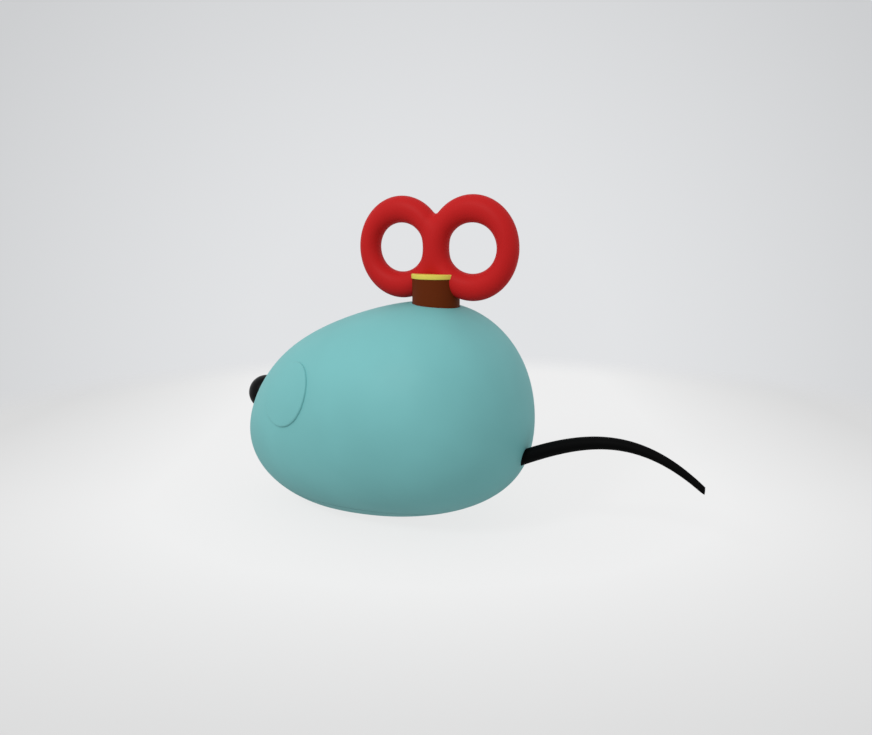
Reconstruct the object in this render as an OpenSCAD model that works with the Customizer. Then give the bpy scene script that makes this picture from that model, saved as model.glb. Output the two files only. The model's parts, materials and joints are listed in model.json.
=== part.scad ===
// Clockwork mouse: an egg-shaped plastic body over a wind-up movement.
// Millimetres, +Z up. The nose points to -X, the tail to +X, and the mouse stands on z = 0.
// The origin is on the ground under the middle of the whole length, nose bead to tail tip.

/* [Body] */
// Half the length of the egg along its own axis
egg_half = 40.1; // [39.5:0.05:41]
// Radius of the egg at its middle
egg_r = 26.4; // [26:0.05:27]
// Angle by which the tail end of the egg is raised
egg_tilt = 13.4; // [12:0.1:15]
// Height of the egg's middle above the ground
egg_z = 25.15; // [24.8:0.05:26]
// Wall of the moulded shell
shell_wall = 1.8; // [1.4:0.1:2]
// Height of the joint between shell and belly pan
seam_z = 5; // [4.8:0.1:5.2]
// Height of the flat underside
under_z = 2; // [1.5:0.1:2.4]

/* [Nose, ears and tail] */
// Radius of the nose bead
nose_r = 4.9; // [4.4:0.05:5]
// How far the flat that the bead sits on lies behind the middle of the bead
nose_flat = 3.45; // [3.3:0.05:3.6]
// Radius of an ear pad
ear_r = 8.1; // [7:0.1:9.5]
// How far an ear pad stands off the shell
ear_rise = 0.55; // [0.4:0.05:1]
// Diameter of the tail where it leaves the shell
tail_d = 3.5; // [3:0.1:4]
// Diameter of the tail at its tip
tail_tip_d = 1.4; // [1:0.1:2]

/* [Key] */
// Radius of the circle that the wire of each ring follows
ring_r = 9.2; // [9:0.1:9.5]
// Radius of the round wire of the rings
ring_wire = 3.1; // [2.8:0.1:3.2]
// Distance from the winding axis to the middle of each ring
ring_x = 9.5; // [9:0.1:10]
// Height of the middle of the rings
ring_z = 67.8; // [67.6:0.05:68.4]
// Radius of the key's stem
stem_r = 5.75; // [5.5:0.05:6]
// Radius of the collar at the top of the stem
collar_r = 5.95; // [5.9:0.05:6.3]
// Height of the underside of the collar
collar_z = 60.5; // [60:0.05:61]
// Height of the collar
collar_h = 1.15; // [1:0.05:1.6]

/* [Movement] */
// Module of the gears
gear_m = 0.6; // [0.6:0.1:0.6]
// Teeth of the great wheel on the winding axis
great_teeth = 30; // [30:1:30]
// Teeth of the pinion on the second arbor
small_teeth = 10; // [10:1:10]
// Teeth of the crown wheel on the second arbor
crown_teeth = 24; // [24:1:24]
// Teeth of the pinion on the drive axle
axle_teeth = 12; // [12:1:12]
// Turns of the mainspring
spring_turns = 6; // [4:1:7]

/* [Wheels] */
// Radius of the drive wheels over their tyres
drive_r = 6; // [6:0.1:6.2]
// Width of a drive wheel
drive_w = 2; // [1.6:0.1:2]
// Radius of the front wheel over its tyre
front_r = 4; // [3.5:0.1:4.2]
// Distance of the front wheel ahead of the winding axis
front_ahead = 34; // [33:0.5:35]

/* [Hidden] */
$fn = 64;

teal = [0.46, 0.70, 0.70];
black = [0.04, 0.04, 0.04];
red = [0.74, 0.14, 0.15];
brown = [0.35, 0.15, 0.06];
yellow = [0.80, 0.80, 0.35];
steel = [0.62, 0.63, 0.65];
brass = [0.78, 0.62, 0.30];
white_plastic = [0.92, 0.91, 0.87];
zinc = [0.55, 0.56, 0.58];

fit = 0.02;       // gap round a pressed or seated piece
run = 0.05;       // gap round a shaft that turns
wind_x = -2.2;    // the winding axis
egg_x = wind_x - 16.4;
front_x = wind_x - front_ahead;

// The train: winding axis, second arbor and drive axle.
mesh = 0.1;                              // extra centre distance, for backlash
great_r = gear_m * great_teeth / 2;
small_r = gear_m * small_teeth / 2;
crown_r = gear_m * crown_teeth / 2;
axle_gear_r = gear_m * axle_teeth / 2;
rim_w = 1.4;                             // width of the crown wheel's rim
crown_y = crown_r - 0.6;
train_gap = great_r + small_r + mesh;
axle_x = wind_x - sqrt(train_gap * train_gap - crown_y * crown_y);
mesh_angle = atan2(crown_y, axle_x - wind_x);
axle_gear_y = crown_y - crown_r;
axle_z = drive_r;
crown_mesh_z = axle_z + axle_gear_r + mesh;

// Heights in the movement.
crown_disc_z = 12.4;
crown_disc_t = 1;
plate_t = 1.2;
bottom_z = 14;
great_z = 16;
great_t = 1.4;
ratchet_z = 17.8;
ratchet_t = 1.2;
spring_z = 20;
spring_h = 10;
top_plate_z = 31.6;
plate_len = 36;
plate_w = 26;
plate_x = wind_x - 6;

pillar_spots = [[wind_x - 21, -11], [wind_x - 21, 11], [wind_x + 9, -10], [wind_x + 9, 10]];
front_pillars = [pillar_spots[0], pillar_spots[1]];
rear_screw_spot = [wind_x + 5.2, 0];
pan_screw_spots = [[wind_x - 44, 0], [wind_x + 0.5, -6], [wind_x + 0.5, 6]];
block_screw_spots = [[front_x - 6, 5.2], [front_x + 6, -5.2]];

recess_z = 53;                           // floor of the recess under the stem
deep_seat_z = 4.2;                       // where the heads of the edge screws seat
flat_seat_z = 3.6;                       // where the heads of the screws in the flat seat
arbor_r = 1.5;
head_h = 0.8;                            // height of a screw head
wheel_y = 4.7;                           // middle of a drive wheel
nose_spot = [wind_x - 54.75, 0, 26.5];
nose_out = [-0.955, 0, 0.297];           // straight out of the shell at the nose

// ---- shapes that several pieces share ----

// Radius of the egg at a share u of its half length, -1 at the nose and 1 at the tail.
function egg_radius(u) = egg_r * sqrt(1 - u * u) * (1 + 0.139 * u + 0.204 * u * u + 0.109 * u * u * u);

// A solid of revolution with the egg's outline, grown by a distance, and flat behind the nose bead.
module egg(grow = 0) {
    steps = 32;
    intersection() {
        translate([egg_x, 0, egg_z]) rotate([0, 90 - egg_tilt, 0]) rotate_extrude()
            polygon([for (i = [0 : steps])
                let (u = -cos(180 * i / steps), k = egg_radius(u) + grow * sin(180 * i / steps))
                [i == 0 || i == steps ? 0 : k, u * (egg_half + grow)]]);
        along(nose_spot, nose_out, 70, -120, grow - nose_flat);
    }
}

module rod(x, y, z, r, h) {
    translate([x, y, z]) cylinder(r = r, h = h);
}

module rod_y(x, y, z, r, h) {
    translate([x, y, z]) rotate([-90, 0, 0]) cylinder(r = r, h = h);
}

module box_from(x, y, z, size) {
    translate([x, y, z]) cube(size);
}

// A cylinder that leaves the shell along the line from the egg's middle to a spot.
module along(spot, dir, r, from, to) {
    side = atan2(dir[1], dir[0]);
    lean = acos(dir[2] / norm(dir));
    translate(spot) rotate([0, lean, side]) translate([0, 0, from]) cylinder(r = r, h = to - from);
}

// Involute outline of one spur gear with play, its first tooth on +X.
function involute(rb, r) = sqrt(max(r * r / (rb * rb) - 1, 0)) * 180 / PI - acos(min(rb / r, 1));

module gear_outline(teeth, share = 0.44, tip = 0.75, root = 1.2) {
    rp = gear_m * teeth / 2;
    rb = rp * cos(20);
    ra = rp + tip * gear_m;
    rf = rp - root * gear_m;
    half = 180 * share / teeth;
    steps = 5;
    radii = [for (i = [0 : steps]) max(rb, rf) + (ra - max(rb, rf)) * i / steps];
    bend = [for (r = radii) half + involute(rb, rp) - involute(rb, r)];
    pitch = 360 / teeth;
    polygon([for (k = [0 : teeth - 1]) each concat(
        [rf * [cos(k * pitch - bend[0] - 1), sin(k * pitch - bend[0] - 1)]],
        [for (i = [0 : steps]) radii[i] * [cos(k * pitch - bend[i]), sin(k * pitch - bend[i])]],
        [for (i = [steps : -1 : 0]) radii[i] * [cos(k * pitch + bend[i]), sin(k * pitch + bend[i])]],
        [rf * [cos(k * pitch + bend[0] + 1), sin(k * pitch + bend[0] + 1)]])]);
}

// Direction straight out of the shell at the middle of the left ear, for side = -1.
function ear_dir(side) = [-0.306, side * 0.868, 0.39];
function ear_spot(side) = [wind_x - 29.4, side * 22.1, 33.45];

// Route of the tail in the XZ plane: one curve from the shell to the tip.
tail_ends = [[wind_x + 22.4, 18.7], [wind_x + 38.6, 26.6], [wind_x + 50.4, 29.3], [wind_x + 64.4, 18]];
function curve(p, t) = pow(1 - t, 3) * p[0] + 3 * t * pow(1 - t, 2) * p[1]
    + 3 * t * t * (1 - t) * p[2] + pow(t, 3) * p[3];
function slope(p, t) = pow(1 - t, 2) * (p[1] - p[0]) + 2 * t * (1 - t) * (p[2] - p[1])
    + t * t * (p[3] - p[2]);
tail_out = [0.955, 0, -0.295];           // straight out of the shell at the tail
tail_root = [tail_ends[0][0], 0, tail_ends[0][1]];
tail_hole_r = 1.2;

// ---- body ----

module screw_posts() {
    for (s = pan_screw_spots) rod(s[0], s[1], seam_z, 2.1, 8);
    box_from(wind_x - 50, -0.6, seam_z, [7, 1.2, 8]);
    for (side = [-1, 1])
        box_from(wind_x - 0.1, side > 0 ? 6 : -13.2, seam_z, [1.2, 7.2, 8]);
}

module body_shell() color(teal) difference() {
    union() {
        difference() {
            egg();
            egg(-shell_wall);
        }
        intersection() {
            egg(-0.6);
            union() {
                screw_posts();
                rod(wind_x, 0, recess_z - 2.2, 7.8, 6);
            }
        }
    }
    box_from(-100, -50, -10, [200, 100, seam_z + 10]);
    rod(wind_x, 0, recess_z, stem_r + 0.12, 6);
    rod(wind_x, 0, 40, 2.5 + fit, 20);
    for (s = pan_screw_spots) rod(s[0], s[1], 0, 0.85, 11);
    along(nose_spot, nose_out, 1.2 + fit, -9, 2);
    for (side = [-1, 1]) along(ear_spot(side), ear_dir(side), 1 + fit, -6, 3);
    along(tail_root, tail_out, tail_hole_r + fit, -8, 6);
    rod(rear_screw_spot[0], rear_screw_spot[1], 0, 2.2 + fit, 20);
    for (side = [-1, 1]) box_from(axle_x - 2.5, side * 7.5 - 1, 0, [5, 2, 20]);
}

// The flat-bottomed lower cap, with wheel openings, axle bearings and posts for the movement.
module belly_pan() color(teal) difference() {
    union() {
        intersection() {
            egg();
            box_from(-100, -50, under_z, [200, 100, seam_z - under_z]);
        }
        for (side = [-1, 1]) box_from(axle_x - 2.4, side * 7.5 - 0.9, seam_z - 1, [4.8, 1.8, 4]);
        for (s = front_pillars) rod(s[0], s[1], seam_z - 1, 2.3, bottom_z - seam_z + 1);
        rod(rear_screw_spot[0], rear_screw_spot[1], seam_z - 1, 2.2, bottom_z - seam_z + 1);
    }
    box_from(axle_x - drive_r - 0.7, -6.3, -1, [2 * drive_r + 1.4, 12.6, 20]);
    rod_y(axle_x, -10, axle_z, 0.8 + run, 20);
    for (side = [-1, 1]) box_from(axle_x - 0.65, side * 7.5 - 2, axle_z, [1.3, 4, 5]);
    rod(front_x, 0, -1, 5.5, 10);
    for (s = concat(front_pillars, block_screw_spots)) {
        rod(s[0], s[1], 0, 0.9, 30);
        rod(s[0], s[1], 0, 1.9, flat_seat_z);
    }
    for (s = concat(pan_screw_spots, [rear_screw_spot])) {
        rod(s[0], s[1], 0, 0.9, 30);
        rod(s[0], s[1], 0, 1.9, deep_seat_z);
    }
}

// A pan-head screw pointing up, its head's underside at seat_z.
module screw(spot, seat_z, length, r = 0.8) {
    difference() {
        union() {
            rod(spot[0], spot[1], seat_z - head_h, 1.6, head_h);
            rod(spot[0], spot[1], seat_z - 0.1, r, length + 0.1);
        }
        for (a = [0, 90]) translate([spot[0], spot[1], seat_z - head_h]) rotate([0, 0, a])
            translate([-0.9, -0.2, -0.1]) cube([1.8, 0.4, 0.5]);
    }
}

module pan_screws() color(steel) for (s = pan_screw_spots) screw(s, deep_seat_z, 6);

// Flanged brass bush that guides the winding arbor through the shell.
module top_bush() color(brass) difference() {
    union() {
        rod(wind_x, 0, recess_z - 2.2, 2.5, 2.2);
        rod(wind_x, 0, recess_z - 3.2, 3.6, 1);
    }
    rod(wind_x, 0, 40, arbor_r + run, 20);
}

// ---- nose, ears and tail ----

module nose_bead() color(black) {
    difference() {
        translate(nose_spot) sphere(r = nose_r);
        egg(fit);
    }
    along(nose_spot, nose_out, 1.2, -7, 1);
}

// A push-on clip that grips a stem inside the shell.
module push_clip(spot, dir, hole, at) {
    difference() {
        along(spot, dir, hole + 1.6, at - 0.6, at);
        along(spot, dir, hole + fit, at - 3, at + 3);
    }
}

module nose_clip() color(steel) push_clip(nose_spot, nose_out, 1.2, -5.6);

// A thin pad that follows the shell, with a stem through it.
module ear(side) {
    intersection() {
        difference() {
            egg(ear_rise);
            egg(fit);
        }
        along(ear_spot(side), ear_dir(side), ear_r, -8, 6);
    }
    along(ear_spot(side), ear_dir(side), 1, -4.4, 0.3);
}

module left_ear() color(teal) ear(-1);

module right_ear() color(teal) ear(1);

module ear_clips() color(steel) for (side = [-1, 1]) push_clip(ear_spot(side), ear_dir(side), 1, -3);

// The tail is swept as rings round its curve, and its stem goes through the shell.
module tail() color(black) {
    rings = 28;
    sides = 12;
    points = [for (i = [0 : rings]) let (
        t = i / rings,
        c = curve(tail_ends, t),
        way = i == rings ? [1, 0] : slope(tail_ends, t) / norm(slope(tail_ends, t)),
        r = (tail_d - 0.9 * t - (tail_d - 0.9 - tail_tip_d) * t * t) / 2)
        for (k = [0 : sides - 1]) let (a = 360 * k / sides)
            [c[0] - way[1] * r * sin(a), r * cos(a), c[1] + way[0] * r * sin(a)]];
    skin = [for (i = [0 : rings - 1]) for (k = [0 : sides - 1])
        let (a = i * sides + k, b = i * sides + (k + 1) % sides)
        each [[a, b + sides, b], [a, a + sides, b + sides]]];
    ends = [[for (k = [0 : sides - 1]) k], [for (k = [sides - 1 : -1 : 0]) rings * sides + k]];
    difference() {
        polyhedron(points = points, faces = concat(skin, ends), convexity = 4);
        egg(fit);
    }
    along(tail_root, tail_out, tail_hole_r, -4.8, 0.4);
}

module tail_clip() color(steel) push_clip(tail_root, tail_out, tail_hole_r, -3.4);

// ---- movement frame ----

module plate(z) {
    difference() {
        box_from(plate_x - plate_len / 2, -plate_w / 2, z, [plate_len, plate_w, plate_t]);
        for (s = pillar_spots) rod(s[0], s[1], z - 1, 0.9, 4);
        rod(wind_x, 0, z - 1, arbor_r + run, 4);
        rod(axle_x, crown_y, z - 1, 0.8 + run, 4);
        children();
    }
}

module bottom_plate() color(white_plastic) plate(bottom_z)
    rod(rear_screw_spot[0], rear_screw_spot[1], bottom_z - 1, 0.85, 4);

// The top plate is pierced round the mainspring, to save weight.
module top_plate() color(white_plastic) plate(top_plate_z)
    for (a = [45 : 90 : 315]) rod(wind_x + 6.5 * cos(a), 6.5 * sin(a), top_plate_z - 1, 2.5, 4);

module pillars() color(white_plastic) for (s = pillar_spots) difference() {
    rod(s[0], s[1], bottom_z + plate_t, 2, top_plate_z - bottom_z - plate_t);
    rod(s[0], s[1], bottom_z, 0.85, 8);
    rod(s[0], s[1], top_plate_z - 7, 0.85, 8);
}

module pillar_screws() color(steel) {
    for (s = front_pillars) screw(s, flat_seat_z, 16);
    for (i = [2, 3]) screw(pillar_spots[i], bottom_z, 5);
}

module rear_screw() color(steel) screw(rear_screw_spot, deep_seat_z, bottom_z + plate_t - deep_seat_z);

module top_screws() color(steel) for (s = pillar_spots)
    translate([0, 0, 2 * (top_plate_z + plate_t)]) mirror([0, 0, 1]) screw(s, top_plate_z + plate_t, 6);

// ---- winding axis ----

module great_wheel() color(brass) difference() {
    union() {
        translate([wind_x, 0, great_z]) rotate([0, 0, mesh_angle]) linear_extrude(great_t)
            gear_outline(great_teeth);
        rod(wind_x, 0, bottom_z + plate_t + 0.2, 2.6, 0.8);
    }
    rod(wind_x, 0, 10, arbor_r + run, 20);
    rod(wind_x + 7, 0, 10, 0.6 + fit, 20);
}

// Teeth of the ratchet rise one way, so that the key only winds clockwise.
module ratchet_wheel() color(steel) difference() {
    translate([wind_x, 0, ratchet_z]) linear_extrude(ratchet_t)
        polygon([for (k = [0 : 11]) each [[4.6 * cos(k * 30), 4.6 * sin(k * 30)],
            [3.5 * cos(k * 30 + 2), 3.5 * sin(k * 30 + 2)]]]);
    rod(wind_x, 0, 10, arbor_r + fit, 20);
}

// The click is a spring leaf on the great wheel.
module click() color(steel) difference() {
    union() {
        rod(wind_x + 7, 0, great_z + great_t + fit, 1.1, 0.8);
        box_from(wind_x + 5.4, -0.3, great_z + great_t + fit + 0.3, [1.6, 0.6, 0.5]);
        box_from(wind_x + 5.1, -4.2, great_z + great_t + fit + 0.3, [0.4, 4.5, 1]);
    }
    rod(wind_x + 7, 0, 10, 0.6 + fit, 20);
}

module click_rivet() color(steel) {
    rod(wind_x + 7, 0, great_z, 0.6, great_t + 1);
    rod(wind_x + 7, 0, great_z + great_t + 0.84, 0.95, 0.4);
}

// Cross hole for the pin that holds the key's stem on the arbor.
module pin_hole() {
    translate([wind_x - 10, 0, recess_z + 2.4]) rotate([0, 90, 0]) cylinder(r = 0.4 + fit, h = 20);
}

// The arbor ends in a square that the key's stem sits on.
module winding_arbor() color(steel) {
    difference() {
        union() {
            rod(wind_x, 0, bottom_z - 1.4, arbor_r, recess_z + 0.2 - bottom_z + 1.4);
            rod(wind_x, 0, ratchet_z + ratchet_t + fit, 2.3, top_plate_z - ratchet_z - ratchet_t - 0.6);
            box_from(wind_x - 1.05, -1.05, recess_z, [2.1, 2.1, 5]);
        }
        difference() {
            rod(wind_x, 0, bottom_z - 1, 3, 0.5);
            rod(wind_x, 0, bottom_z - 2, 1.1, 3);
        }
        pin_hole();
    }
}

module arbor_clip() color(steel) difference() {
    rod(wind_x, 0, bottom_z - 0.95, 2.6, 0.4);
    rod(wind_x, 0, bottom_z - 2, 1.1 + fit, 3);
}

// One edge of the mainspring's strip: a coil from the hub outwards, then a hook round a rear pillar.
spring_in = 2.7;
spring_out = 9.9;
strip_t = 0.3;
hook_spot = [9, 10];
hook_r = 2 + 2 * run + strip_t / 2;
function spring_edge(shift, steps = 30) = concat(
    [for (i = [0 : spring_turns * steps]) let (a = i * 360 / steps)
        (spring_in + (spring_out - spring_in) * i / (spring_turns * steps) + shift) * [cos(a), sin(a)]],
    [for (a = [0 : 15 : 150]) hook_spot + (hook_r + shift) * [cos(a), sin(a)]]);

module mainspring() color(steel) {
    back = spring_edge(strip_t / 2);
    translate([wind_x, 0, spring_z]) linear_extrude(spring_h)
        polygon(concat(spring_edge(-strip_t / 2), [for (i = [len(back) - 1 : -1 : 0]) back[i]]));
}

// ---- key ----

module ring(side, grow = 0) {
    translate([wind_x + side * ring_x, 0, ring_z]) rotate([90, 0, 0])
        rotate_extrude() translate([ring_r, 0]) circle(r = ring_wire + grow);
}

module key_bow() color(red) {
    ring(-1);
    ring(1);
}

// The turned stem is cut away where the rings are set into it.
module key_stem() color(brown) difference() {
    rod(wind_x, 0, recess_z + 0.2, stem_r, collar_z - recess_z - 0.2);
    for (side = [-1, 1]) ring(side, run);
    box_from(wind_x - 1.05 - fit, -1.05 - fit, recess_z, [2.1 + 2 * fit, 2.1 + 2 * fit, 5 + fit]);
    pin_hole();
}

module key_collar() color(yellow) difference() {
    rod(wind_x, 0, collar_z + fit, collar_r, collar_h);
    for (side = [-1, 1]) ring(side, run);
}

module key_pin() color(steel)
    translate([wind_x - 5.4, 0, recess_z + 2.4]) rotate([0, 90, 0]) cylinder(r = 0.4, h = 10.8);

// ---- second arbor ----

module second_arbor() color(steel)
    rod(axle_x, crown_y, crown_disc_z, 0.8, top_plate_z + plate_t + 0.6 - crown_disc_z);

module second_pinion() color(brass) difference() {
    translate([axle_x, crown_y, bottom_z + plate_t + 0.4]) rotate([0, 0, mesh_angle + 180 + 180 / small_teeth])
        linear_extrude(2.6) gear_outline(small_teeth);
    rod(axle_x, crown_y, 10, 0.8 + fit, 20);
}

// A cup with teeth cut in the lower edge of its rim, over the axle's pinion.
module crown_wheel() color(brass) {
    rim_out = crown_r + rim_w / 2;
    rim_in = crown_r - rim_w / 2;
    tip_z = crown_mesh_z - 0.45;
    root_z = crown_mesh_z + 0.75;
    pitch_w = PI * gear_m;
    difference() {
        rod(axle_x, crown_y, tip_z, rim_out, crown_disc_z + crown_disc_t - tip_z);
        rod(axle_x, crown_y, tip_z - 1, rim_in, crown_disc_z - tip_z + 1);
        rod(axle_x, crown_y, 10, 0.8 + fit, 10);
        for (k = [0 : crown_teeth - 1])
            translate([axle_x, crown_y, 0]) rotate([0, 0, (k + 0.5) * 360 / crown_teeth - 90])
            translate([rim_in - 1, 0, 0]) rotate([90, 0, 90]) linear_extrude(rim_w + 2)
                polygon([[-0.33 * pitch_w, root_z], [0.33 * pitch_w, root_z],
                    [0.5 * pitch_w, tip_z - 0.1], [-0.5 * pitch_w, tip_z - 0.1]]);
    }
}

// ---- drive axle ----

module drive_axle() color(steel) rod_y(axle_x, -8.9, axle_z, 0.8, 17.8);

module axle_pinion() color(brass) difference() {
    translate([axle_x, axle_gear_y - 1.2, axle_z]) rotate([-90, 0, 0]) rotate([0, 0, 90 + 180 / axle_teeth])
        linear_extrude(2.4) gear_outline(axle_teeth, 0.36);
    rod_y(axle_x, -5, axle_z, 0.8 + fit, 10);
}

module drive_wheel(side) difference() {
    rod_y(axle_x, side * wheel_y - drive_w / 2, axle_z, drive_r - 1.1, drive_w);
    rod_y(axle_x, -20, axle_z, 0.8 + fit, 40);
    for (a = [0 : 72 : 359])
        rod_y(axle_x + 2.9 * cos(a), -20, axle_z + 2.9 * sin(a), 0.8, 40);
}

module left_drive_wheel() color(white_plastic) drive_wheel(-1);

module right_drive_wheel() color(white_plastic) drive_wheel(1);

module drive_tyre(side) difference() {
    rod_y(axle_x, side * wheel_y - drive_w / 2, axle_z, drive_r, drive_w);
    rod_y(axle_x, -20, axle_z, drive_r - 1.1 + fit, 40);
}

module left_drive_tyre() color(black) drive_tyre(-1);

module right_drive_tyre() color(black) drive_tyre(1);

// ---- front end ----

// A die-cast block carries the fork and keeps the front wheel on the ground.
module front_block() color(zinc) difference() {
    intersection() {
        box_from(front_x - 7.5, -7.5, seam_z, [15, 15, 9]);
        egg(-shell_wall - 0.1);
    }
    rod(front_x, 0, 0, 5.4, 10.6);
    rod(front_x, 0, 0, 1.5 + run, 30);
    for (s = block_screw_spots) rod(s[0], s[1], 0, 0.85, 12);
}

module block_screws() color(steel) for (s = block_screw_spots) screw(s, flat_seat_z, 6);

module steering_fork() color(white_plastic) difference() {
    union() {
        rod(front_x, 0, 8.8, 4.8, 1.6);
        rod(front_x, 0, 10, 1.5, 5.4);
        for (side = [-1, 1]) {
            box_from(front_x - 1.5, side * 2.6 - 0.5, front_r, [3, 1, 5]);
            rod_y(front_x, side * 2.6 - 0.5, front_r, 1.5, 1);
        }
    }
    rod_y(front_x, -10, front_r, 0.5 + run, 20);
    difference() {
        rod(front_x, 0, 14.3, 3, 0.5);
        rod(front_x, 0, 14, 1.1, 3);
    }
}

module fork_clip() color(steel) difference() {
    rod(front_x, 0, 14.35, 2.6, 0.4);
    rod(front_x, 0, 14, 1.1 + fit, 3);
}

module front_axle() color(steel) rod_y(front_x, -3.5, front_r, 0.5, 7);

module front_wheel() color(white_plastic) difference() {
    rod_y(front_x, -1.5, front_r, front_r - 0.9, 3);
    rod_y(front_x, -5, front_r, 0.5 + fit, 10);
}

module front_tyre() color(black) difference() {
    rod_y(front_x, -1.5, front_r, front_r, 3);
    rod_y(front_x, -5, front_r, front_r - 0.9 + fit, 10);
}

body_shell();
belly_pan();
pan_screws();
top_bush();
nose_bead();
nose_clip();
left_ear();
right_ear();
ear_clips();
tail();
tail_clip();
bottom_plate();
top_plate();
pillars();
pillar_screws();
rear_screw();
top_screws();
great_wheel();
click();
click_rivet();
winding_arbor();
ratchet_wheel();
mainspring();
arbor_clip();
key_stem();
key_collar();
key_bow();
key_pin();
second_arbor();
second_pinion();
crown_wheel();
drive_axle();
axle_pinion();
left_drive_wheel();
right_drive_wheel();
left_drive_tyre();
right_drive_tyre();
front_block();
block_screws();
steering_fork();
fork_clip();
front_axle();
front_wheel();
front_tyre();
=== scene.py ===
"""Clockwork mouse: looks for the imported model, in metres, in the model's own frame.

The order follows the mouse as it is put together: shell and belly pan, nose, ears and tail,
key, movement, wheels, and last the floor, the camera and the light.
"""

import json
import math

import bmesh
import bpy
from mathutils import Matrix, Vector


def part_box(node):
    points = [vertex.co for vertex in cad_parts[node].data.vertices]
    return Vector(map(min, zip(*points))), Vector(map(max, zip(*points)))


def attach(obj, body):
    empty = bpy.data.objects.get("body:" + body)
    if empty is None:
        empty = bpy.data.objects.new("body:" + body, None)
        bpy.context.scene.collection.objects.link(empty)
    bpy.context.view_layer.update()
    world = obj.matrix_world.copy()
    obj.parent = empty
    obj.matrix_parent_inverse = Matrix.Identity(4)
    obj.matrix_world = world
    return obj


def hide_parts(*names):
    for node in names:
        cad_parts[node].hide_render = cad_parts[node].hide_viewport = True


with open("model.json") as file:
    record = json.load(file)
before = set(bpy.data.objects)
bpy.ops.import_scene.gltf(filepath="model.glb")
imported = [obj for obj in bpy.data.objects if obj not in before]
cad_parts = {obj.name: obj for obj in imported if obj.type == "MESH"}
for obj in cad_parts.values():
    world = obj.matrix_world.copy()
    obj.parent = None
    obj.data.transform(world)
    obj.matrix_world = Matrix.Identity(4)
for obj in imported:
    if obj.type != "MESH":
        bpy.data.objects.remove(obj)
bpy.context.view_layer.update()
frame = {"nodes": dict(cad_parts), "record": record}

# ---- Body shell ----
# One egg-shaped shell, injection moulded in satin teal ABS with a wall of under 2 mm.
# It is open below, and has a shallow round recess on top that the key's stem turns in.

EGG_HALF = 0.0401
EGG_R = 0.0264
EGG_FULLER_BEHIND = 0.139
EGG_FULLER_ENDS = 0.204
EGG_FULLER_TAIL = 0.109
EGG_TILT = math.radians(13.4)
SHELL_WALL = 0.0018
SEAM_OVERLAP = 0.00005
RECESS_DEPTH = 0.0002
RECESS_GAP = 0.00012
ON_AXIS = 1e-7
CLEAR_X, CLEAR_Y, CLEAR_BELOW, CLEAR_ABOVE = 0.1, 0.05, -0.02, 0.08


def egg_radius(u):
    """Radius of the egg at a share u of its half length, -1 at the nose and 1 at the tail."""
    fuller = 1 + EGG_FULLER_BEHIND * u + EGG_FULLER_ENDS * u**2 + EGG_FULLER_TAIL * u**3
    return EGG_R * math.sqrt(max(0, 1 - u * u)) * fuller


def bridge(work, rings, turns):
    """Faces between rings of points that follow each other. A ring may be a single point."""
    for low, high in zip(rings, rings[1:]):
        for k in range(turns):
            n = (k + 1) % turns
            corners = [low[k % len(low)], low[n % len(low)], high[n % len(high)], high[k % len(high)]]
            distinct = list(dict.fromkeys(corners))
            if len(distinct) > 2:
                work.faces.new(distinct)


def as_object(name, work):
    """An object with a worked mesh, linked into the scene at the origin."""
    mesh = bpy.data.meshes.new(name)
    work.to_mesh(mesh)
    work.free()
    piece = bpy.data.objects.new(name, mesh)
    bpy.context.scene.collection.objects.link(piece)
    return piece


def lathe(name, outline, turns=96):
    """A surface of revolution round Z. The outline is a list of (radius, height)."""
    work = bmesh.new()
    angles = [2 * math.pi * k / turns for k in range(turns)]
    rings = []
    for radius, height in outline:
        if radius < ON_AXIS:
            rings.append([work.verts.new((0, 0, height))])
        else:
            rings.append([
                work.verts.new((radius * math.cos(a), radius * math.sin(a), height)) for a in angles
            ])
    bridge(work, rings, turns)
    bmesh.ops.recalc_face_normals(work, faces=work.faces)
    return as_object(name, work)


def soften(piece, angle=35):
    """Smooth shading, with edges sharper than the angle kept crisp."""
    piece.data.polygons.foreach_set("use_smooth", [True] * len(piece.data.polygons))
    piece.data.set_sharp_from_angle(angle=math.radians(angle))


def settle(piece, matrix):
    """Move a piece's mesh, so that the object itself stays at the origin."""
    piece.data.transform(matrix)
    piece.data.update()


def apply_to(piece, modifier):
    """Apply a piece's modifier to its mesh."""
    bpy.context.view_layer.objects.active = piece
    bpy.ops.object.modifier_apply(modifier=modifier.name)


def carve(piece, cutter, operation="DIFFERENCE"):
    """Cut a piece with another solid, or join the two, and throw the other solid away."""
    cut = piece.modifiers.new("cut", "BOOLEAN")
    cut.operation = operation
    cut.solver = "EXACT"
    cut.object = cutter
    apply_to(piece, cut)
    bpy.data.objects.remove(cutter)


def join(name, *parts):
    """Several meshes as one object."""
    work = bmesh.new()
    for part in parts:
        work.from_mesh(part.data)
        bpy.data.objects.remove(part)
    return as_object(name, work)


def post(name, x, y, z0, z1, radius, turns=64):
    """An upright closed cylinder from z0 to z1."""
    piece = lathe(name, [(0, z0), (radius, z0), (radius, z1), (0, z1)], turns)
    settle(piece, Matrix.Translation((x, y, 0)))
    return piece


def block(name, low, high):
    """A closed box between two corners."""
    work = bmesh.new()
    bmesh.ops.create_cube(work, size=1)
    piece = as_object(name, work)
    size = Vector(high) - Vector(low)
    middle = (Vector(high) + Vector(low)) / 2
    settle(piece, Matrix.Translation(middle) @ Matrix.Diagonal((*size, 1)))
    return piece


def slab(name, z0, z1):
    """A block that is wider than the mouse, from z0 to z1."""
    return block(name, (-CLEAR_X, -CLEAR_Y, z0), (CLEAR_X, CLEAR_Y, z1))


seam_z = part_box("body_shell")[0].z
stem_low, stem_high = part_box("key_stem")
axis_x = (stem_low.x + stem_high.x) / 2
stem_r = (stem_high.x - stem_low.x) / 2
egg_middle = Vector((axis_x - 0.0164, 0, 0.02515))

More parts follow.
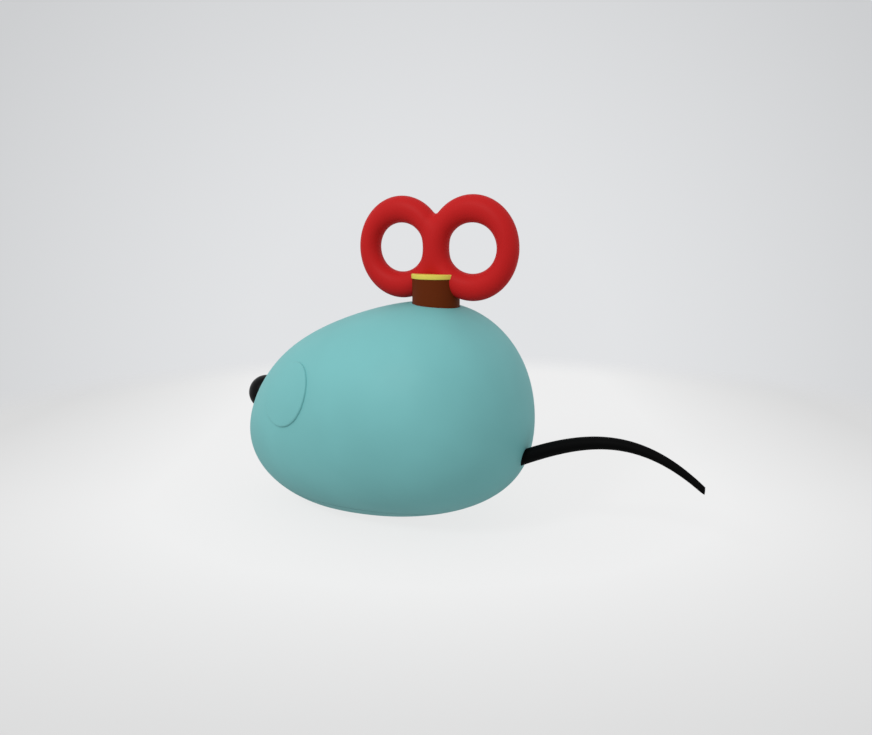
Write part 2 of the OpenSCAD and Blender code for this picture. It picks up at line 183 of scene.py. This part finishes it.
# Where the mould leaves the pure egg: the middle of each touch, its way out, how far it goes
# that way, and how wide it is.
flat_snout = (Vector((axis_x - 0.0553, 0, 0.0278)), Vector((-0.955, 0, 0.297)), -0.0033, 0.0100)
full_rump = (Vector((axis_x + 0.0224, 0, 0.0170)), Vector((0.955, 0, -0.295)), 0.0011, 0.0090)
flat_back = (Vector((axis_x + 0.0140, 0, 0.0455)), Vector((0.68, 0, 0.73)), -0.0011, 0.0095)


def shaped(point):
    """A point of the pure egg, moved to where the mould has it."""
    moved = Vector(point)
    for middle, way, depth, width in (flat_snout, full_rump, flat_back):
        moved += way * depth * math.exp(-(Vector(point) - middle).length_squared / (2 * width * width))
    return moved


def egg(name, grow=0.0, rings=120, turns=160):
    """The closed egg, grown by a distance, tilted and set where the shell is."""
    outline = []
    for i in range(rings + 1):
        angle = math.pi * i / rings
        u = -math.cos(angle)
        radius = 0 if i in (0, rings) else egg_radius(u) + grow * math.sin(angle)
        outline.append((radius, u * (EGG_HALF + grow)))
    piece = lathe(name, outline, turns)
    settle(piece, Matrix.Rotation(math.pi / 2 - EGG_TILT, 4, "Y"))
    settle(piece, Matrix.Translation(egg_middle))
    for vertex in piece.data.vertices:
        vertex.co = shaped(vertex.co)
    return piece


shell = egg("shell")
carve(shell, egg("shell_inside", -SHELL_WALL))
carve(shell, slab("below", CLEAR_BELOW, seam_z + SEAM_OVERLAP))
recess_z = stem_low.z - RECESS_DEPTH
carve(shell, post("recess", axis_x, 0, recess_z, CLEAR_ABOVE, stem_r + RECESS_GAP, 128))
soften(shell, 40)


def new_finish(name):
    """A new node material: itself, its node tree, its shader and the object's own coordinates."""
    material = bpy.data.materials.new(name)
    material.use_nodes = True
    tree = material.node_tree
    place = tree.nodes.new("ShaderNodeTexCoord")
    return material, tree, tree.nodes["Principled BSDF"], place.outputs["Object"]


def noise(tree, place, scale, detail=2):
    """Cloudy noise from 0 to 1."""
    cloud = tree.nodes.new("ShaderNodeTexNoise")
    cloud.inputs["Scale"].default_value = scale
    cloud.inputs["Detail"].default_value = detail
    tree.links.new(place, cloud.inputs["Vector"])
    return cloud.outputs["Fac"]


def spread(tree, value, low, high, start=0, stop=1):
    """A value that goes from low to high as another goes from start to stop."""
    scale = tree.nodes.new("ShaderNodeMapRange")
    scale.inputs["From Min"].default_value = start
    scale.inputs["From Max"].default_value = stop
    scale.inputs["To Min"].default_value = low
    scale.inputs["To Max"].default_value = high
    tree.links.new(value, scale.inputs["Value"])
    return scale.outputs["Result"]


def two_tone(tree, value, dark, pale, start=0, stop=1):
    """A colour that goes from dark to pale as a value goes from start to stop."""
    ramp = tree.nodes.new("ShaderNodeValToRGB")
    first, last = ramp.color_ramp.elements
    first.position, last.position = start, stop
    first.color, last.color = (*dark, 1), (*pale, 1)
    tree.links.new(value, ramp.inputs["Fac"])
    return ramp.outputs["Color"]


def relief(tree, shader, height, strength, depth):
    """Fine relief on a shader's surface."""
    bump = tree.nodes.new("ShaderNodeBump")
    bump.inputs["Strength"].default_value = strength
    bump.inputs["Distance"].default_value = depth
    tree.links.new(height, bump.inputs["Height"])
    tree.links.new(bump.outputs["Normal"], shader.inputs["Normal"])


def plastic(name, colour, roughness, grain=0.00035, bump=0.12, gloss=0.25):
    """Moulded plastic: faint colour drift, a fine moulded grain and slightly uneven gloss."""
    material, tree, shader, place = new_finish(name)
    shader.inputs["Specular IOR Level"].default_value = gloss
    dark = [c * 0.965 for c in colour]
    pale = [min(1, c * 1.03) for c in colour]
    tint = two_tone(tree, noise(tree, place, 45, 3), dark, pale, 0.35, 0.65)
    tree.links.new(tint, shader.inputs["Base Color"])
    uneven = spread(tree, noise(tree, place, 220, 4), roughness - 0.05, roughness + 0.06)
    tree.links.new(uneven, shader.inputs["Roughness"])
    relief(tree, shader, noise(tree, place, 1 / grain, 5), bump, 0.00004)
    return material


teal_plastic = plastic("teal_plastic", (0.190, 0.505, 0.505), 0.52, gloss=0.2)
shell.data.materials.append(teal_plastic)
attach(shell, "body")
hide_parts("body_shell")

# ---- Belly pan ----
# The moulded lower cap closes the shell. It has a flat underside with openings for the wheels,
# and carries the axle bearings and the posts that the movement stands on.

HEAD_HOLE_R = 0.0019
DEEP_SEAT_Z = 0.0042
FLAT_SEAT_Z = 0.0036
WHEEL_GAP = 0.0007
WHEEL_WELL_HALF = 0.0063
FORK_WELL_R = 0.0055
LUG_Y = 0.0075
LUG_HALF_LONG = 0.0024
LUG_HALF_WIDE = 0.0009
LUG_TOP = 0.0055
POST_R = 0.0023

pan_low, pan_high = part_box("belly_pan")
drive_low, drive_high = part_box("left_drive_tyre")
drive_r = (drive_high.z - drive_low.z) / 2
axle_x = (drive_low.x + drive_high.x) / 2
fork_low, fork_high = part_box("steering_fork")
front_x = (fork_low.x + fork_high.x) / 2

shell_screws = [(axis_x - 0.044, 0), (axis_x + 0.0005, -0.006), (axis_x + 0.0005, 0.006)]
rear_screw = (axis_x + 0.0052, 0)
pillar_feet = [(axis_x - 0.021, -0.011), (axis_x - 0.021, 0.011)]
block_screws = [(front_x - 0.006, 0.0052), (front_x + 0.006, -0.0052)]

pan = egg("pan")
carve(pan, slab("under", CLEAR_BELOW, pan_low.z))
carve(pan, slab("over", seam_z - SEAM_OVERLAP, CLEAR_ABOVE))
well = drive_r + WHEEL_GAP
well_low = (axle_x - well, -WHEEL_WELL_HALF, -0.01)
well_high = (axle_x + well, WHEEL_WELL_HALF, 0.02)
carve(pan, block("wheel_well", well_low, well_high))
carve(pan, post("fork_well", front_x, 0, -0.01, 0.02, FORK_WELL_R))
for x, y in [*shell_screws, rear_screw]:
    carve(pan, post("head_hole", x, y, -0.001, DEEP_SEAT_Z, HEAD_HOLE_R, 48))
for x, y in pillar_feet + block_screws:
    carve(pan, post("head_hole", x, y, -0.001, FLAT_SEAT_Z, HEAD_HOLE_R, 48))
lugs = [
    block(
        "lug",
        (axle_x - LUG_HALF_LONG, side * LUG_Y - LUG_HALF_WIDE, seam_z - 0.001),
        (axle_x + LUG_HALF_LONG, side * LUG_Y + LUG_HALF_WIDE, pan_low.z + LUG_TOP),
    )
    for side in (-1, 1)
]
posts = [
    post("stand", x, y, seam_z - 0.0005, pan_high.z, POST_R, 48)
    for x, y in [*pillar_feet, rear_screw]
]
pan = join("belly_pan_moulded", pan, *lugs, *posts)
soften(pan, 30)
pan.data.materials.append(teal_plastic)
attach(pan, "body")
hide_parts("belly_pan")

# ---- Nose bead ----
# A solid glossy black plastic ball, flattened to the shell behind, whose stem passes through the
# shell and is held inside by a push-on steel clip.

SEAT_GAP = 0.00002

nose_low, nose_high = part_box("nose_bead")
nose_r = (nose_high.y - nose_low.y) / 2
nose_middle = Vector((nose_low.x + nose_r, 0, 0.0265))
half_turn = [math.pi * i / 48 for i in range(49)]
nose = lathe("nose", [(nose_r * math.sin(a), -nose_r * math.cos(a)) for a in half_turn], 96)
settle(nose, Matrix.Rotation(EGG_TILT - math.pi / 2, 4, "Y"))
settle(nose, Matrix.Translation(nose_middle))
carve(nose, egg("nose_seat", SEAT_GAP))
soften(nose, 40)
black_plastic = plastic("black_plastic", (0.0030, 0.0028, 0.0030), 0.34, bump=0.05, gloss=0.08)
nose.data.materials.append(black_plastic)
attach(nose, "body")
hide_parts("nose_bead")

# ---- Ears ----
# Each ear is a thin round pad of the body's own plastic that follows the shell. It stands off it
# by under a millimetre with a small rounded edge, and a stem through the shell holds it.

EAR_R = 0.0081
EAR_RISE = 0.0005
EAR_EDGE = 0.0003
EAR_SUNK = 0.0004
EAR_TURNS = 128
EAR_RINGS = 14
EDGE_STEPS = 6


def shell_gap(point):
    """Distance of a point outside the egg, roughly, measured across the egg's own axis."""
    along = Vector((math.cos(EGG_TILT), 0, math.sin(EGG_TILT)))
    away = Vector(point) - egg_middle
    u = max(-1, min(1, away.dot(along) / EGG_HALF))
    return (away - along * away.dot(along)).length - egg_radius(u)


def on_shell(point, way):
    """Where a line through a point, in a direction out of the egg, meets the egg."""
    low, high = -0.012, 0.012
    for _ in range(40):
        middle = (low + high) / 2
        if shell_gap(point + way * middle) > 0:
            high = middle
        else:
            low = middle
    return point + way * low


def ear_pad(name, side):
    """One ear, named after its node, on the left (-1) or the right (1) of the head."""
    way = Vector((-0.306, side * 0.868, 0.39)).normalized()
    middle = Vector((axis_x - 0.0294, side * 0.0221, 0.03345))
    across = way.cross(Vector((0, 0, 1))).normalized()
    up = across.cross(way).normalized()
    profile = [(EAR_R, -EAR_SUNK), (EAR_R, EAR_RISE - EAR_EDGE)]
    for i in range(1, EDGE_STEPS + 1):
        a = math.pi / 2 * i / EDGE_STEPS
        profile.append((EAR_R - EAR_EDGE * (1 - math.cos(a)), EAR_RISE - EAR_EDGE * (1 - math.sin(a))))
    for i in range(1, EAR_RINGS + 1):
        profile.append(((EAR_R - EAR_EDGE) * (1 - i / EAR_RINGS), EAR_RISE))
    work = bmesh.new()
    rings = []
    for radius, rise in profile:
        ring = []
        for k in range(1 if radius < ON_AXIS else EAR_TURNS):
            a = 2 * math.pi * k / EAR_TURNS
            foot = on_shell(middle + across * radius * math.cos(a) + up * radius * math.sin(a), way)
            ring.append(work.verts.new(shaped(foot) + way * rise))
        rings.append(ring)
    bridge(work, rings, EAR_TURNS)
    work.faces.new(rings[0])
    bmesh.ops.recalc_face_normals(work, faces=work.faces)
    pad = as_object(name + "_pad", work)
    soften(pad, 50)
    pad.data.materials.append(teal_plastic)
    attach(pad, "body")
    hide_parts(name)


ear_pad("left_ear", -1)
ear_pad("right_ear", 1)

# ---- Tail ----
# A stiff solid tail moulded in black rubber. It leaves the rump rising, arches over and comes
# down again, thins all the way and ends in a square cut. Its stem is clipped inside the shell.

TAIL_D = 0.0035
TAIL_THINS = 0.0009
TAIL_THINS_LATE = 0.0012
TAIL_RINGS = 120
TAIL_SIDES = 40
ROOT_RINGS = 4
ROOT_STEP = 0.0004

tail_tip_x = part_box("tail")[1].x
tail_ends = [
    Vector((axis_x + 0.0224, 0, 0.0187)),
    Vector((axis_x + 0.0386, 0, 0.0266)),
    Vector((axis_x + 0.0504, 0, 0.0293)),
    Vector((tail_tip_x, 0, 0.018)),
]


def tail_point(t):
    """Middle of the tail at a share t of its curve, 0 at the shell and 1 at the tip."""
    a, b, c, d = tail_ends
    return a * (1 - t) ** 3 + b * 3 * t * (1 - t) ** 2 + c * 3 * t * t * (1 - t) + d * t**3


def tail_way(t):
    """Direction of the tail at a share t of its curve."""
    a, b, c, d = tail_ends
    return ((b - a) * (1 - t) ** 2 + (c - b) * 2 * t * (1 - t) + (d - c) * t * t).normalized()


work = bmesh.new()
rings = []
for i in range(-ROOT_RINGS, TAIL_RINGS + 1):
    t = max(i, 0) / TAIL_RINGS
    way = Vector((1, 0, 0)) if i == TAIL_RINGS else tail_way(t)
    middle = tail_point(t) + way * min(i, 0) * ROOT_STEP
    radius = (TAIL_D - TAIL_THINS * t - TAIL_THINS_LATE * t * t) / 2
    side = Vector((0, 1, 0))
    up = side.cross(way) * -1
    rings.append([
        work.verts.new(middle + side * radius * math.cos(a) + up * radius * math.sin(a))
        for a in [2 * math.pi * k / TAIL_SIDES for k in range(TAIL_SIDES)]
    ])
bridge(work, rings, TAIL_SIDES)
work.faces.new(rings[0])
work.faces.new(rings[-1])
bmesh.ops.recalc_face_normals(work, faces=work.faces)
tail = as_object("tail_moulded", work)
carve(tail, egg("tail_seat", SEAT_GAP))
soften(tail, 50)
rubber_colour = (0.0016, 0.0016, 0.0017)
black_rubber = plastic("black_rubber", rubber_colour, 0.62, grain=0.00022, bump=0.3, gloss=0.05)
tail.data.materials.append(black_rubber)
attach(tail, "body")
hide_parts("tail")

# ---- Key ----
# The red bow is two rings moulded as one, thicker at the top and bottom than at the sides, and
# set into the end of a round brown stem. A yellow collar caps the stem, and the stem sits on
# the arbor's square with a cross pin.

WIRE_TOP = 0.0032
WIRE_SIDE = 0.00255
WIRE_DEEP = 0.0028
JOIN_R = 0.0005
BOW_VOXEL = 0.00032
BOW_PULLS = 4
PROBE = 0.00002
GROOVE_GAP = 0.00003
STEM_CHAMFER = 0.0002
LIP_R = 0.0002

bow_low, bow_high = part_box("key_bow")
ring_reach = (bow_high.z - bow_low.z) / 2
ring_z = (bow_low.z + bow_high.z) / 2
ring_x = (bow_high.x - bow_low.x) / 2 - ring_reach
ring_r = ring_reach - WIRE_TOP
ring_middles = [Vector((axis_x + side * ring_x, 0, ring_z)) for side in (-1, 1)]


def wire_at(rise):
    """Half the wire's width in the ring's plane, for the sine of the angle round the ring."""
    return WIRE_SIDE + (WIRE_TOP - WIRE_SIDE) * rise * rise


def ring(name, middle, grow=0.0, turns=192, sides=48):
    """A ring standing in the XZ plane, its wire thicker at the top and the bottom."""
    work = bmesh.new()
    deep = WIRE_DEEP + grow
    loops = []
    for k in range(turns):
        a = 2 * math.pi * k / turns
        out = Vector((math.cos(a), 0, math.sin(a)))
        wide = wire_at(math.sin(a)) + grow
        loop = []
        for b in [2 * math.pi * i / sides for i in range(sides)]:
            foot = middle + out * (ring_r + wide * math.cos(b))
            loop.append(work.verts.new(foot + Vector((0, deep * math.sin(b), 0))))
        loops.append(loop)
    bridge(work, loops + loops[:1], sides)
    bmesh.ops.recalc_face_normals(work, faces=work.faces)
    return as_object(name, work)


def bow_gap(p):
    """Distance of a point from the bow, with the two rings blended where they meet."""
    gaps = []
    for middle in ring_middles:
        away = math.hypot(p.x - middle.x, p.z - middle.z)
        wide = wire_at((p.z - middle.z) / max(away, 1e-6))
        share = math.hypot((away - ring_r) / wide, p.y / WIRE_DEEP)
        gaps.append((share - 1) * min(wide, WIRE_DEEP))
    near, far = min(gaps), max(gaps)
    blend = max(0, 1 - (far - near) / (4 * JOIN_R))
    return near - JOIN_R * blend * blend


def bow_slope(p):
    """How the distance from the bow changes along x, y and z."""
    ways = [Vector((PROBE, 0, 0)), Vector((0, PROBE, 0)), Vector((0, 0, PROBE))]
    return Vector([bow_gap(p + way) - bow_gap(p - way) for way in ways]) / (2 * PROBE)


bow = ring("bow", ring_middles[0])
carve(bow, ring("bow_right", ring_middles[1]), "UNION")
remesh = bow.modifiers.new("remesh", "REMESH")
remesh.mode = "VOXEL"
remesh.voxel_size = BOW_VOXEL
apply_to(bow, remesh)
for vertex in bow.data.vertices:
    for _ in range(BOW_PULLS):
        p = vertex.co.copy()
        slope = bow_slope(p)
        vertex.co = p - slope * bow_gap(p) / max(slope.length_squared, 0.2)
soften(bow, 70)
red_plastic = plastic("red_plastic", (0.52, 0.0135, 0.0135), 0.5, bump=0.08, gloss=0.08)
bow.data.materials.append(red_plastic)
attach(bow, "key")
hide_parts("key_bow")


def seat_bow(piece):
    """Groove a piece turned round Z for the two rings, and move it to the key's axis."""
    for middle in ring_middles:
        carve(piece, ring("groove", middle - Vector((axis_x, 0, 0)), GROOVE_GAP))
    settle(piece, Matrix.Translation((axis_x, 0, 0)))


stem = lathe("stem", [
    (0, stem_low.z),
    (stem_r - STEM_CHAMFER, stem_low.z),
    (stem_r, stem_low.z + STEM_CHAMFER),
    (stem_r, stem_high.z),
    (0, stem_high.z),
], 160)
seat_bow(stem)
soften(stem, 30)
brown_plastic = plastic("brown_plastic", (0.125, 0.0215, 0.0035), 0.55, bump=0.1, gloss=0.05)
stem.data.materials.append(brown_plastic)
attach(stem, "key")
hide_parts("key_stem")

collar_low, collar_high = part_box("key_collar")
lip_x = (collar_high.y - collar_low.y) / 2 - LIP_R
low_lip_z = collar_low.z + LIP_R
high_lip_z = collar_high.z - LIP_R
quarter_turn = half_turn[:24]
collar = lathe("collar", [
    (0, collar_low.z),
    (lip_x, collar_low.z),
    *[(lip_x + LIP_R * math.sin(a), low_lip_z - LIP_R * math.cos(a)) for a in quarter_turn[1::4]],
    *[(lip_x + LIP_R * math.cos(a), high_lip_z + LIP_R * math.sin(a)) for a in quarter_turn[::4]],
    (lip_x, collar_high.z),
    (0, collar_high.z),
], 160)
seat_bow(collar)
soften(collar, 35)
yellow_plastic = plastic("yellow_plastic", (0.76, 0.66, 0.108), 0.5, bump=0.08, gloss=0.1)
collar.data.materials.append(yellow_plastic)
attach(collar, "key")
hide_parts("key_collar")

# ---- Movement and fixings ----
# The train is turned and cut brass on steel arbors between two acetal plates, driven by a coiled
# blue spring. Screws and clips are bright steel, and the front block is die-cast zinc.


def metal(name, colour, roughness, streak):
    """Worked metal: fine turning or drawing marks, with a little tarnish between them."""
    material, tree, shader, place = new_finish(name)
    shader.inputs["Metallic"].default_value = 1
    stretch = tree.nodes.new("ShaderNodeMapping")
    stretch.inputs["Scale"].default_value = streak
    tree.links.new(place, stretch.inputs["Vector"])
    marks = noise(tree, stretch.outputs["Vector"], 2600, 4)
    tint = two_tone(tree, noise(tree, place, 140), [c * 0.8 for c in colour], colour)
    tree.links.new(tint, shader.inputs["Base Color"])
    uneven = spread(tree, marks, roughness - 0.08, roughness + 0.1)
    tree.links.new(uneven, shader.inputs["Roughness"])
    relief(tree, shader, marks, 0.2, 0.00002)
    return material


finishes = {
    "steel": metal("bright_steel", (0.56, 0.57, 0.58), 0.3, (1, 1, 0.15)),
    "spring_steel": metal("blued_steel", (0.16, 0.19, 0.26), 0.34, (0.2, 0.2, 1)),
    "brass": metal("cut_brass", (0.72, 0.50, 0.20), 0.3, (1, 1, 0.2)),
    "zinc": metal("cast_zinc", (0.42, 0.43, 0.45), 0.52, (0.5, 0.5, 0.5)),
    "movement_plastic": plastic("white_acetal", (0.80, 0.78, 0.71), 0.42, bump=0.1, gloss=0.3),
    "teal": teal_plastic,
    "black_gloss": black_plastic,
    "black_rubber": black_rubber,
    "tyre": black_rubber,
    "red": red_plastic,
    "brown": brown_plastic,
    "yellow": yellow_plastic,
}
for part in frame["record"]["subparts"]:
    for spot in frame["nodes"][part["node"]].material_slots:
        spot.material = finishes[part["material_slot"]]

# ---- Wheels ----
# Three black rubber tyres, moulded with rounded shoulders and fine cross ribs for grip, are
# pushed onto acetal wheels.

DRIVE_RUBBER = 0.0011
FRONT_RUBBER = 0.0009
SHOULDER_SHARE = 0.22
SHOULDER_STEPS = 8
RIB_DEPTH = 0.00016


def tyre(node, body, ribs, rubber):
    """One tyre, named after its node: ribs is how many it has, and rubber how thick it is."""
    low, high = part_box(node)
    outer = (high.z - low.z) / 2
    width = high.y - low.y
    inner = outer - rubber
    shoulder = width * SHOULDER_SHARE
    outline = [(inner, -width / 2), (outer - shoulder, -width / 2)]
    for i in range(1, SHOULDER_STEPS + 1):
        a = math.pi / 2 * i / SHOULDER_STEPS
        height = -width / 2 + shoulder - shoulder * math.cos(a)
        outline.append((outer - shoulder + shoulder * math.sin(a), height))
    outline += [(radius, -height) for radius, height in reversed(outline[2:])]
    outline += [(outer - shoulder, width / 2), (inner, width / 2), (inner, -width / 2)]
    piece = lathe(node + "_moulded", outline, ribs * 4)
    work = bmesh.new()
    work.from_mesh(piece.data)
    bmesh.ops.remove_doubles(work, verts=work.verts, dist=ON_AXIS)
    for vertex in work.verts:
        radius = math.hypot(vertex.co.x, vertex.co.y)
        turn = math.atan2(vertex.co.y, vertex.co.x) / (2 * math.pi) * ribs
        if radius > outer - shoulder * 0.6 and (turn % 1) > 0.49:
            vertex.co.x *= (radius - RIB_DEPTH) / radius
            vertex.co.y *= (radius - RIB_DEPTH) / radius
    bmesh.ops.recalc_face_normals(work, faces=work.faces)
    work.to_mesh(piece.data)
    work.free()
    settle(piece, Matrix.Rotation(math.pi / 2, 4, "X"))
    settle(piece, Matrix.Translation((low + high) / 2))
    soften(piece, 30)
    piece.data.materials.append(black_rubber)
    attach(piece, body)
    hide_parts(node)


tyre("left_drive_tyre", "drive", 48, DRIVE_RUBBER)
tyre("right_drive_tyre", "drive", 48, DRIVE_RUBBER)
tyre("front_tyre", "roller", 36, FRONT_RUBBER)

# ---- Floor, camera and light ----
# The mouse stands on a round table whose edge fades into a pale studio wall. The table is grey
# in itself and looks white because it glows with painted light, brightest in a painted pool round
# the mouse; the wall has painted shade that darkens it away from the middle of the view. The wall
# lights it from all sides, and a small round lamp stands high on its left. The camera is also on
# its left, a little behind it, at the height of its key.

TABLE_R = 0.215
TABLE_FADE = 0.03
TABLE_GREY = 0.12
# Painted light: the table shines by itself, most in a painted pool round the mouse and less further
# out, and throws part of that onto the mouse.
TABLE_PAINTED_GLOW = 0.76
TABLE_PAINTED_GLOW_FAR = 0.78
TABLE_PAINTED_GLOW_BOUNCE = 0.5
PAINTED_POOL_WIDE = 1.33
PAINTED_POOL_START = 0.06
PAINTED_POOL_END = 0.118
CAMERA_TURN = math.radians(28.5)
CAMERA_DOWN = math.radians(11)

floor_middle = Vector((axis_x, 0, 0))
table = lathe("table", [(0, 0), (TABLE_R + TABLE_FADE, 0)], 128)
settle(table, Matrix.Translation(floor_middle))


def link(tree, socket, node, name):
    """Join an output to a node's input, by the input's name or number."""
    tree.links.new(socket, node.inputs[name])


def to_camera(tree):
    """1 for what the camera sees directly, and 0 for light that falls on something."""
    return tree.nodes.new("ShaderNodeLightPath").outputs["Is Camera Ray"]


def painted_pool_distance(tree, place):
    """Distance from the painted pool of light on the table: an ellipse in front, and level lines
    behind it.
    """
    pool = tree.nodes.new("ShaderNodeMapping")
    pool.vector_type = "TEXTURE"
    pool.inputs["Location"].default_value = (axis_x - 0.0105, 0.0193, 0)
    pool.inputs["Rotation"].default_value = (0, 0, CAMERA_TURN)
    pool.inputs["Scale"].default_value = (PAINTED_POOL_WIDE, 1, 1)
    link(tree, place, pool, "Vector")
    apart = tree.nodes.new("ShaderNodeSeparateXYZ")
    link(tree, pool.outputs["Vector"], apart, "Vector")
    in_front = tree.nodes.new("ShaderNodeMath")
    in_front.operation = "MINIMUM"
    in_front.inputs[1].default_value = 0
    link(tree, apart.outputs["Y"], in_front, 0)
    flat = tree.nodes.new("ShaderNodeCombineXYZ")
    link(tree, apart.outputs["X"], flat, "X")
    link(tree, in_front.outputs["Value"], flat, "Y")
    far = tree.nodes.new("ShaderNodeVectorMath")
    far.operation = "LENGTH"
    link(tree, flat.outputs["Vector"], far, 0)
    return far.outputs["Value"]


painted_glow_table, tree, unused_shader, place = new_finish("painted_glow_table")
tree.nodes.remove(unused_shader)
from_middle = tree.nodes.new("ShaderNodeVectorMath")
from_middle.operation = "DISTANCE"
from_middle.inputs[1].default_value = floor_middle
link(tree, place, from_middle, 0)
edge = tree.nodes.new("ShaderNodeMapRange")
edge.interpolation_type = "SMOOTHSTEP"
edge.inputs["From Min"].default_value = TABLE_R - TABLE_FADE
edge.inputs["From Max"].default_value = TABLE_R + TABLE_FADE
link(tree, from_middle.outputs["Value"], edge, "Value")
lit = tree.nodes.new("ShaderNodeBsdfDiffuse")
lit.inputs["Color"].default_value = (TABLE_GREY, TABLE_GREY, TABLE_GREY, 1)
# Painted light: the table's own emission falls off outwards from a painted pool of light. The camera
# sees all of it, and the mouse sees only a share.
far_painted_glow = TABLE_PAINTED_GLOW * TABLE_PAINTED_GLOW_FAR
fall = spread(tree, painted_pool_distance(tree, place), TABLE_PAINTED_GLOW, far_painted_glow, PAINTED_POOL_START, PAINTED_POOL_END)
level = spread(tree, to_camera(tree), TABLE_PAINTED_GLOW_BOUNCE, 1)
strength = tree.nodes.new("ShaderNodeMath")
strength.operation = "MULTIPLY"
link(tree, fall, strength, 0)
link(tree, level, strength, 1)
glow = tree.nodes.new("ShaderNodeEmission")
link(tree, strength.outputs["Value"], glow, "Strength")
both = tree.nodes.new("ShaderNodeAddShader")
link(tree, lit.outputs["BSDF"], both, 0)
link(tree, glow.outputs["Emission"], both, 1)
clear = tree.nodes.new("ShaderNodeBsdfTransparent")
mix = tree.nodes.new("ShaderNodeMixShader")
link(tree, edge.outputs["Result"], mix, "Fac")
link(tree, both.outputs["Shader"], mix, 1)
link(tree, clear.outputs["BSDF"], mix, 2)
link(tree, mix.outputs["Shader"], tree.nodes["Material Output"], "Surface")
table.data.materials.append(painted_glow_table)

eye = bpy.data.objects.new("camera", bpy.data.cameras.new("camera"))
bpy.context.scene.collection.objects.link(eye)
eye.location = (axis_x + 0.0848, -0.1562, 0.0732)
eye.rotation_euler = (math.pi / 2 - CAMERA_DOWN, 0, CAMERA_TURN)
eye.data.sensor_width = 36
eye.data.lens = 36 * 735 / 872
eye.data.clip_start = 0.005
bpy.context.scene.camera = eye

WALL_COLOUR = (0.76, 0.77, 0.785, 1)
# Painted shade: the wall seen by the camera darkens away from the middle of the view.
WALL_PAINTED_SHADE = 0.81
WALL_PAINTED_SHADE_START = 0.80
WALL_PAINTED_SHADE_END = 0.97
FILL_COLOUR = (0.97, 0.985, 1, 1)
FILL_STRENGTH = 0.72

world = bpy.context.scene.world or bpy.data.worlds.new("studio")
bpy.context.scene.world = world
world.use_nodes = True
tree = world.node_tree
wall = tree.nodes["Background"]
wall.inputs["Color"].default_value = WALL_COLOUR
way = tree.nodes.new("ShaderNodeTexCoord")
facing = tree.nodes.new("ShaderNodeVectorMath")
facing.operation = "DOT_PRODUCT"
facing.inputs[1].default_value = (
    -math.sin(CAMERA_TURN) * math.cos(CAMERA_DOWN),
    math.cos(CAMERA_TURN) * math.cos(CAMERA_DOWN),
    -math.sin(CAMERA_DOWN),
)
link(tree, way.outputs["Generated"], facing, 0)
# Painted shade on the wall, darker towards the edges of the view.
painted_wall_shade = spread(tree, facing.outputs["Value"], WALL_PAINTED_SHADE, 1, WALL_PAINTED_SHADE_START, WALL_PAINTED_SHADE_END)
link(tree, painted_wall_shade, wall, "Strength")
fill = tree.nodes.new("ShaderNodeBackground")
fill.inputs["Color"].default_value = FILL_COLOUR
fill.inputs["Strength"].default_value = FILL_STRENGTH
split = tree.nodes.new("ShaderNodeMixShader")
link(tree, to_camera(tree), split, "Fac")
link(tree, fill.outputs["Background"], split, 1)
link(tree, wall.outputs["Background"], split, 2)
link(tree, split.outputs["Shader"], tree.nodes["World Output"], "Surface")

LAMP_WIDE = 0.12
LAMP_ENERGY = 1.0

lamp = bpy.data.objects.new("softbox", bpy.data.lights.new("softbox", "AREA"))
bpy.context.scene.collection.objects.link(lamp)
lamp.data.shape = "DISK"
lamp.data.size = LAMP_WIDE
lamp.data.energy = LAMP_ENERGY
lamp.location = (axis_x - 0.11, -0.42, 0.38)
lamp_way = Vector(lamp.location) - Vector((axis_x, 0, 0.03))
lamp.rotation_euler = lamp_way.to_track_quat("Z", "Y").to_euler()

bpy.context.scene.view_settings.view_transform = "Standard"
